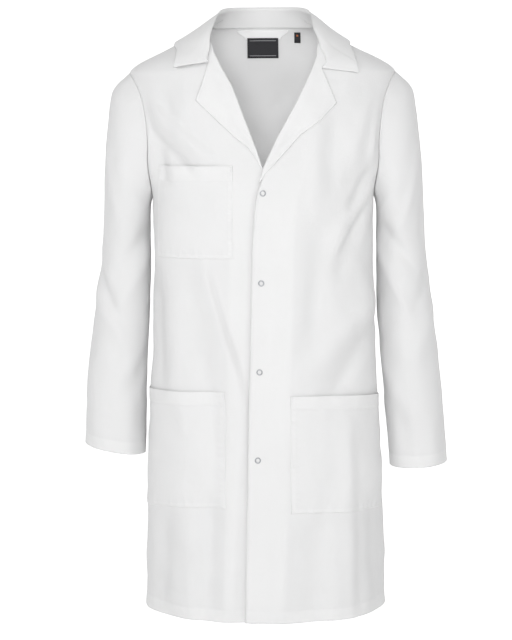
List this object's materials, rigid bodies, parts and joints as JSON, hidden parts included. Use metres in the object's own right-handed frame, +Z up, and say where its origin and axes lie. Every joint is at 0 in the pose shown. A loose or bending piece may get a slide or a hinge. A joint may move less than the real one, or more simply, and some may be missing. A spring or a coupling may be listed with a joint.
{
  "type": "lab coat",
  "caption": "Knee-length long-sleeved lab coat with notched lapels, front press studs, a chest pocket and two lower patch pockets, shaped as if worn.",
  "frame": {"origin": "middle of the neck hole, level with the tops of the shoulder seams, where a hanger's hook rises", "axes": "+X to the wearer's left, -Y to the front, +Z up along the coat's length"},
  "size_m": [0.654, 0.286, 1.056],
  "materials": {
    "coat_cloth": "plain white poly-cotton twill",
    "interlining": "white non-woven",
    "label_tape": "black woven tape",
    "snap_ring": "pearl white enamel",
    "snap_metal": "nickel plated"
  },
  "bodies": {
    "coat_body": {"back_panel": "coat_cloth", "back_hem": "coat_cloth", "left_front_upper": "coat_cloth", "right_front_upper": "coat_cloth", "left_lapel": "coat_cloth", "right_lapel": "coat_cloth", "top_collar": "coat_cloth", "collar_interlining": "interlining", "under_collar": "coat_cloth", "collar_stand": "coat_cloth", "left_sleeve_head": "coat_cloth", "right_sleeve_head": "coat_cloth", "label_patch": "coat_cloth", "neck_label": "label_tape", "size_label": "label_tape"},
    "left_front": {"left_front_lower": "coat_cloth", "left_facing": "coat_cloth", "left_front_hem": "coat_cloth", "left_pocket": "coat_cloth", "left_pocket_band": "coat_cloth", "snap_1_cap": "snap_ring", "snap_1_socket": "snap_metal", "snap_2_cap": "snap_ring", "snap_2_socket": "snap_metal", "snap_3_cap": "snap_ring", "snap_3_socket": "snap_metal", "snap_4_cap": "snap_ring", "snap_4_socket": "snap_metal"},
    "right_front": {"right_front_lower": "coat_cloth", "right_facing": "coat_cloth", "right_front_hem": "coat_cloth", "right_pocket": "coat_cloth", "right_pocket_band": "coat_cloth", "chest_pocket": "coat_cloth", "chest_pocket_band": "coat_cloth", "snap_1_stud": "snap_metal", "snap_1_ring": "snap_ring", "snap_2_stud": "snap_metal", "snap_2_ring": "snap_ring", "snap_3_stud": "snap_metal", "snap_3_ring": "snap_ring", "snap_4_stud": "snap_metal", "snap_4_ring": "snap_ring"},
    "left_sleeve_tube": {"left_sleeve": "coat_cloth", "left_cuff_hem": "coat_cloth"},
    "right_sleeve_tube": {"right_sleeve": "coat_cloth", "right_cuff_hem": "coat_cloth"}
  },
  "joints": [
    {"name": "left_front_open", "type": "hinge", "parent": "coat_body", "child": "left_front", "pos_m": [0.217, 0, -1.03], "axis": [-0.0301, 0, 0.9995], "range_deg": [0, 40]},
    {"name": "right_front_open", "type": "hinge", "parent": "coat_body", "child": "right_front", "pos_m": [-0.217, 0, -1.03], "axis": [0.0301, 0, 0.9995], "range_deg": [-32, 0]},
    {"name": "left_sleeve_lift", "type": "hinge", "parent": "coat_body", "child": "left_sleeve_tube", "pos_m": [0.262, 0, -0.117], "axis": [0, -1, 0], "range_deg": [0, 30]},
    {"name": "right_sleeve_lift", "type": "hinge", "parent": "coat_body", "child": "right_sleeve_tube", "pos_m": [-0.262, 0, -0.117], "axis": [0, 1, 0], "range_deg": [0, 30]}
  ],
  "couplings": [
    {"joint": "right_front_open", "follows": "left_front_open", "ratio": -0.8}
  ]
}
